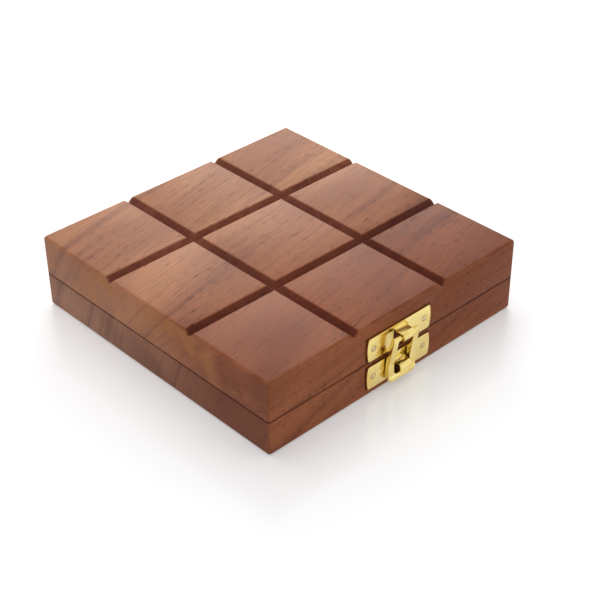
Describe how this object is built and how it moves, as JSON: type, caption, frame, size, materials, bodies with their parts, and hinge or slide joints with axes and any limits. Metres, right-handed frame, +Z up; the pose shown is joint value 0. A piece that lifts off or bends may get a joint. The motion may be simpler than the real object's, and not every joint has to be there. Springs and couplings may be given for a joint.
{
  "type": "wooden game box",
  "caption": "Square hinged wooden box with a three by three grid scored in its lid, a brass ring latch, and a peg solitaire board with pegs and playing pieces inside.",
  "frame": {"origin": "middle of the base's flat underside, on the surface that the box stands on", "axes": "+X along the latched front edge, +Y from the latch towards the hinges, +Z up"},
  "size_m": [0.13, 0.1393, 0.032],
  "materials": {
    "rosewood": "oiled, satin, reddish brown with dark streaks",
    "brass": "polished sheet brass",
    "nail_brass": "polished, domed heads",
    "peg_wood": "turned, waxed",
    "dark_token_wood": "sanded and oiled",
    "pale_token_wood": "sanded and oiled"
  },
  "bodies": {
    "base": {"base_board": "rosewood", "peg_board": "rosewood", "latch_base_plate": "brass", "latch_base_nails": "nail_brass", "hinge_left_base_leaf": "brass", "hinge_right_base_leaf": "brass", "hinge_left_pin": "brass", "hinge_right_pin": "brass", "hinge_base_nails": "nail_brass"},
    "lid": {"lid_board": "rosewood", "latch_lid_plate": "brass", "latch_lid_nails": "nail_brass", "hinge_left_lid_leaf": "brass", "hinge_right_lid_leaf": "brass", "hinge_lid_nails": "nail_brass"},
    "latch_ring": {"latch_ring": "brass"},
    "peg_01": {"peg_01": "peg_wood"},
    "peg_02": {"peg_02": "peg_wood"},
    "peg_03": {"peg_03": "peg_wood"},
    "peg_04": {"peg_04": "peg_wood"},
    "peg_05": {"peg_05": "peg_wood"},
    "peg_06": {"peg_06": "peg_wood"},
    "peg_07": {"peg_07": "peg_wood"},
    "peg_08": {"peg_08": "peg_wood"},
    "peg_09": {"peg_09": "peg_wood"},
    "peg_10": {"peg_10": "peg_wood"},
    "peg_11": {"peg_11": "peg_wood"},
    "peg_12": {"peg_12": "peg_wood"},
    "peg_13": {"peg_13": "peg_wood"},
    "peg_14": {"peg_14": "peg_wood"},
    "peg_15": {"peg_15": "peg_wood"},
    "peg_16": {"peg_16": "peg_wood"},
    "peg_17": {"peg_17": "peg_wood"},
    "peg_18": {"peg_18": "peg_wood"},
    "peg_19": {"peg_19": "peg_wood"},
    "peg_20": {"peg_20": "peg_wood"},
    "peg_21": {"peg_21": "peg_wood"},
    "peg_22": {"peg_22": "peg_wood"},
    "peg_23": {"peg_23": "peg_wood"},
    "peg_24": {"peg_24": "peg_wood"},
    "peg_25": {"peg_25": "peg_wood"},
    "peg_26": {"peg_26": "peg_wood"},
    "peg_27": {"peg_27": "peg_wood"},
    "peg_28": {"peg_28": "peg_wood"},
    "peg_29": {"peg_29": "peg_wood"},
    "peg_30": {"peg_30": "peg_wood"},
    "peg_31": {"peg_31": "peg_wood"},
    "peg_32": {"peg_32": "peg_wood"},
    "cross_1": {"cross_1": "dark_token_wood"},
    "cross_2": {"cross_2": "dark_token_wood"},
    "cross_3": {"cross_3": "dark_token_wood"},
    "cross_4": {"cross_4": "dark_token_wood"},
    "cross_5": {"cross_5": "dark_token_wood"},
    "nought_1": {"nought_1": "pale_token_wood"},
    "nought_2": {"nought_2": "pale_token_wood"},
    "nought_3": {"nought_3": "pale_token_wood"},
    "nought_4": {"nought_4": "pale_token_wood"},
    "nought_5": {"nought_5": "pale_token_wood"}
  },
  "joints": [
    {"name": "lid_hinge", "type": "hinge", "parent": "base", "child": "lid", "pos_m": [0, 0.06685, 0.015], "axis": [-1, 0, 0], "range_deg": [0, 160]},
    {"name": "latch_swing", "type": "hinge", "parent": "lid", "child": "latch_ring", "pos_m": [-0.0013, -0.0691, 0.02235], "axis": [-1, 0, 0], "range_deg": [0, 165]},
    {"name": "cross_1_lift", "type": "slide", "parent": "base", "child": "cross_1", "axis": [0, 0, 1], "range_m": [0, 0.0055]},
    {"name": "cross_2_lift", "type": "slide", "parent": "cross_1", "child": "cross_2", "axis": [0, 0, 1], "range_m": [0, 0.0055]},
    {"name": "cross_3_lift", "type": "slide", "parent": "cross_2", "child": "cross_3", "axis": [0, 0, 1], "range_m": [0, 0.0055]},
    {"name": "cross_4_lift", "type": "slide", "parent": "base", "child": "cross_4", "axis": [0, 0, 1], "range_m": [0, 0.0055]},
    {"name": "cross_5_lift", "type": "slide", "parent": "cross_4", "child": "cross_5", "axis": [0, 0, 1], "range_m": [0, 0.0055]},
    {"name": "nought_1_lift", "type": "slide", "parent": "base", "child": "nought_1", "axis": [0, 0, 1], "range_m": [0, 0.0055]},
    {"name": "nought_2_lift", "type": "slide", "parent": "nought_1", "child": "nought_2", "axis": [0, 0, 1], "range_m": [0, 0.0055]},
    {"name": "nought_3_lift", "type": "slide", "parent": "nought_2", "child": "nought_3", "axis": [0, 0, 1], "range_m": [0, 0.0055]},
    {"name": "nought_4_lift", "type": "slide", "parent": "base", "child": "nought_4", "axis": [0, 0, 1], "range_m": [0, 0.0055]},
    {"name": "nought_5_lift", "type": "slide", "parent": "nought_4", "child": "nought_5", "axis": [0, 0, 1], "range_m": [0, 0.0055]},
    {"name": "peg_01_lift", "type": "slide", "parent": "base", "child": "peg_01", "axis": [0, 0, 1], "range_m": [0, 0.0056]},
    {"name": "peg_02_lift", "type": "slide", "parent": "base", "child": "peg_02", "axis": [0, 0, 1], "range_m": [0, 0.0056]},
    {"name": "peg_03_lift", "type": "slide", "parent": "base", "child": "peg_03", "axis": [0, 0, 1], "range_m": [0, 0.0056]},
    {"name": "peg_04_lift", "type": "slide", "parent": "base", "child": "peg_04", "axis": [0, 0, 1], "range_m": [0, 0.0056]},
    {"name": "peg_05_lift", "type": "slide", "parent": "base", "child": "peg_05", "axis": [0, 0, 1], "range_m": [0, 0.0056]},
    {"name": "peg_06_lift", "type": "slide", "parent": "base", "child": "peg_06", "axis": [0, 0, 1], "range_m": [0, 0.0056]},
    {"name": "peg_07_lift", "type": "slide", "parent": "base", "child": "peg_07", "axis": [0, 0, 1], "range_m": [0, 0.0056]},
    {"name": "peg_08_lift", "type": "slide", "parent": "base", "child": "peg_08", "axis": [0, 0, 1], "range_m": [0, 0.0056]},
    {"name": "peg_09_lift", "type": "slide", "parent": "base", "child": "peg_09", "axis": [0, 0, 1], "range_m": [0, 0.0056]},
    {"name": "peg_10_lift", "type": "slide", "parent": "base", "child": "peg_10", "axis": [0, 0, 1], "range_m": [0, 0.0056]},
    {"name": "peg_11_lift", "type": "slide", "parent": "base", "child": "peg_11", "axis": [0, 0, 1], "range_m": [0, 0.0056]},
    {"name": "peg_12_lift", "type": "slide", "parent": "base", "child": "peg_12", "axis": [0, 0, 1], "range_m": [0, 0.0056]},
    {"name": "peg_13_lift", "type": "slide", "parent": "base", "child": "peg_13", "axis": [0, 0, 1], "range_m": [0, 0.0056]},
    {"name": "peg_14_lift", "type": "slide", "parent": "base", "child": "peg_14", "axis": [0, 0, 1], "range_m": [0, 0.0056]},
    {"name": "peg_15_lift", "type": "slide", "parent": "base", "child": "peg_15", "axis": [0, 0, 1], "range_m": [0, 0.0056]},
    {"name": "peg_16_lift", "type": "slide", "parent": "base", "child": "peg_16", "axis": [0, 0, 1], "range_m": [0, 0.0056]},
    {"name": "peg_17_lift", "type": "slide", "parent": "base", "child": "peg_17", "axis": [0, 0, 1], "range_m": [0, 0.0056]},
    {"name": "peg_18_lift", "type": "slide", "parent": "base", "child": "peg_18", "axis": [0, 0, 1], "range_m": [0, 0.0056]},
    {"name": "peg_19_lift", "type": "slide", "parent": "base", "child": "peg_19", "axis": [0, 0, 1], "range_m": [0, 0.0056]},
    {"name": "peg_20_lift", "type": "slide", "parent": "base", "child": "peg_20", "axis": [0, 0, 1], "range_m": [0, 0.0056]},
    {"name": "peg_21_lift", "type": "slide", "parent": "base", "child": "peg_21", "axis": [0, 0, 1], "range_m": [0, 0.0056]},
    {"name": "peg_22_lift", "type": "slide", "parent": "base", "child": "peg_22", "axis": [0, 0, 1], "range_m": [0, 0.0056]},
    {"name": "peg_23_lift", "type": "slide", "parent": "base", "child": "peg_23", "axis": [0, 0, 1], "range_m": [0, 0.0056]},
    {"name": "peg_24_lift", "type": "slide", "parent": "base", "child": "peg_24", "axis": [0, 0, 1], "range_m": [0, 0.0056]},
    {"name": "peg_25_lift", "type": "slide", "parent": "base", "child": "peg_25", "axis": [0, 0, 1], "range_m": [0, 0.0056]},
    {"name": "peg_26_lift", "type": "slide", "parent": "base", "child": "peg_26", "axis": [0, 0, 1], "range_m": [0, 0.0056]},
    {"name": "peg_27_lift", "type": "slide", "parent": "base", "child": "peg_27", "axis": [0, 0, 1], "range_m": [0, 0.0056]},
    {"name": "peg_28_lift", "type": "slide", "parent": "base", "child": "peg_28", "axis": [0, 0, 1], "range_m": [0, 0.0056]},
    {"name": "peg_29_lift", "type": "slide", "parent": "base", "child": "peg_29", "axis": [0, 0, 1], "range_m": [0, 0.0056]},
    {"name": "peg_30_lift", "type": "slide", "parent": "base", "child": "peg_30", "axis": [0, 0, 1], "range_m": [0, 0.0056]},
    {"name": "peg_31_lift", "type": "slide", "parent": "base", "child": "peg_31", "axis": [0, 0, 1], "range_m": [0, 0.0056]},
    {"name": "peg_32_lift", "type": "slide", "parent": "base", "child": "peg_32", "axis": [0, 0, 1], "range_m": [0, 0.0056]}
  ]
}
